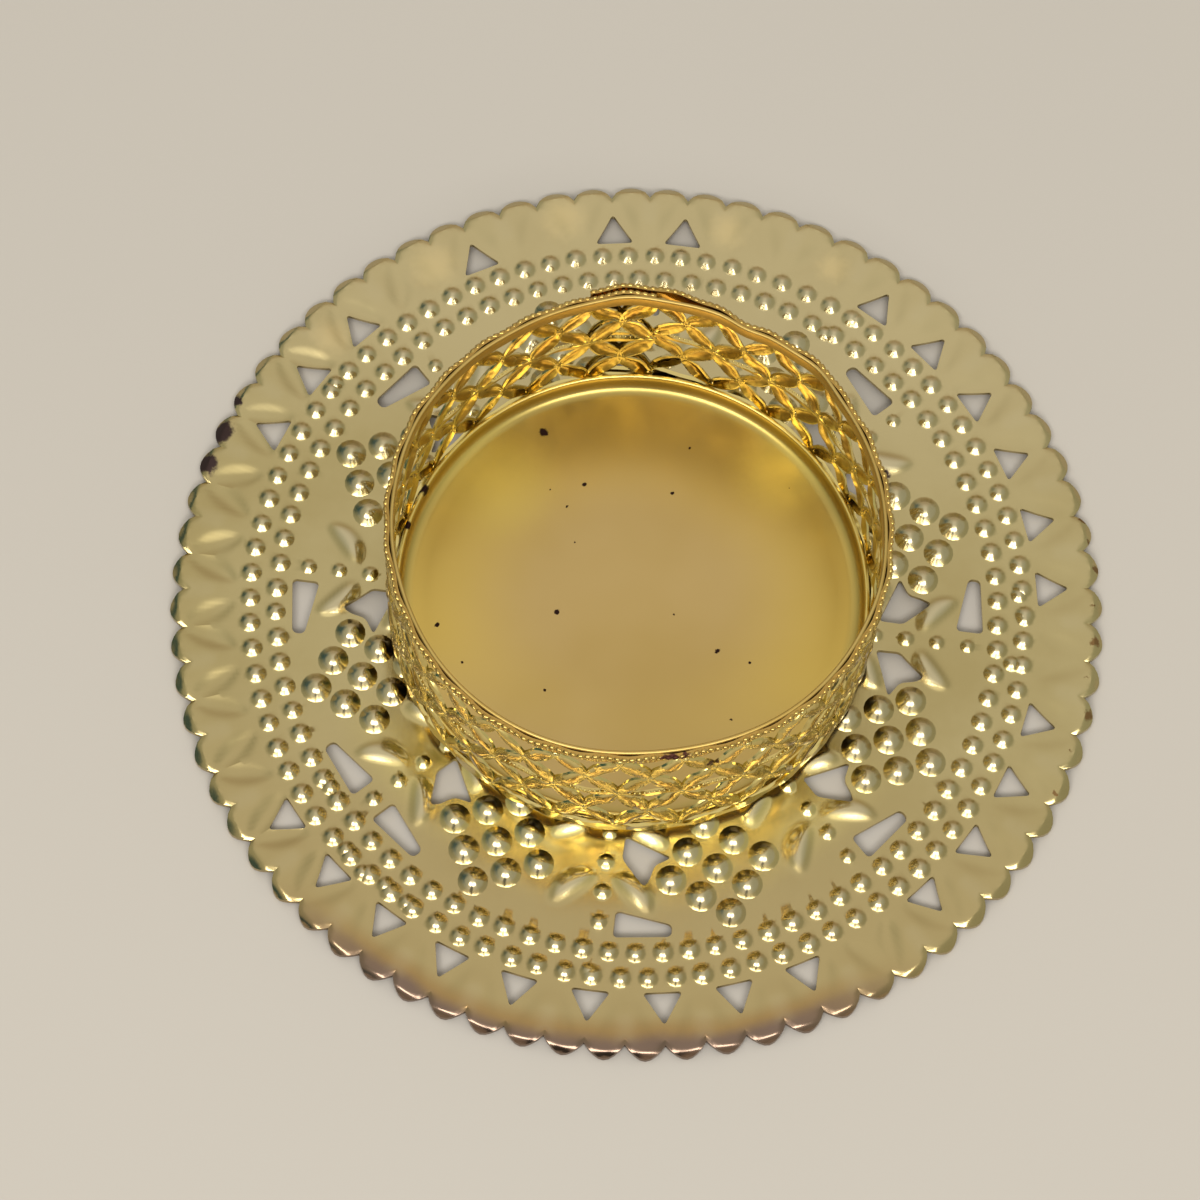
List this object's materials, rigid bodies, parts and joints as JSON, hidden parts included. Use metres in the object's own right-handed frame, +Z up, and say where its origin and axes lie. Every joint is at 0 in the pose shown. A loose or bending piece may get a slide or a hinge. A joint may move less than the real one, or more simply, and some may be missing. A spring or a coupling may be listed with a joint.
{
  "type": "tealight holder",
  "caption": "Low gilt metal tealight holder: a round openwork cup with a smooth hoop rim, soldered on a scalloped, embossed and pierced saucer.",
  "frame": {"origin": "on the table, under the middle of the saucer", "axes": "+Z up along the cup, +X to the right and -Y towards the viewer of the picture"},
  "size_m": [0.08, 0.08, 0.0194],
  "materials": {
    "saucer_gilt": "pale bright gilt sheet, slightly tarnished at the edge",
    "pan_gilt": "satin gilt",
    "band_gilt": "bright yellow gilt",
    "hoop_gilt": "smooth yellow gilt",
    "solder": "dull soft solder"
  },
  "bodies": {
    "root": {"base_plate": "saucer_gilt", "cup_pan": "pan_gilt", "filigree_band": "band_gilt", "rim_hoop": "hoop_gilt", "solder_pad": "solder"}
  },
  "joints": []
}
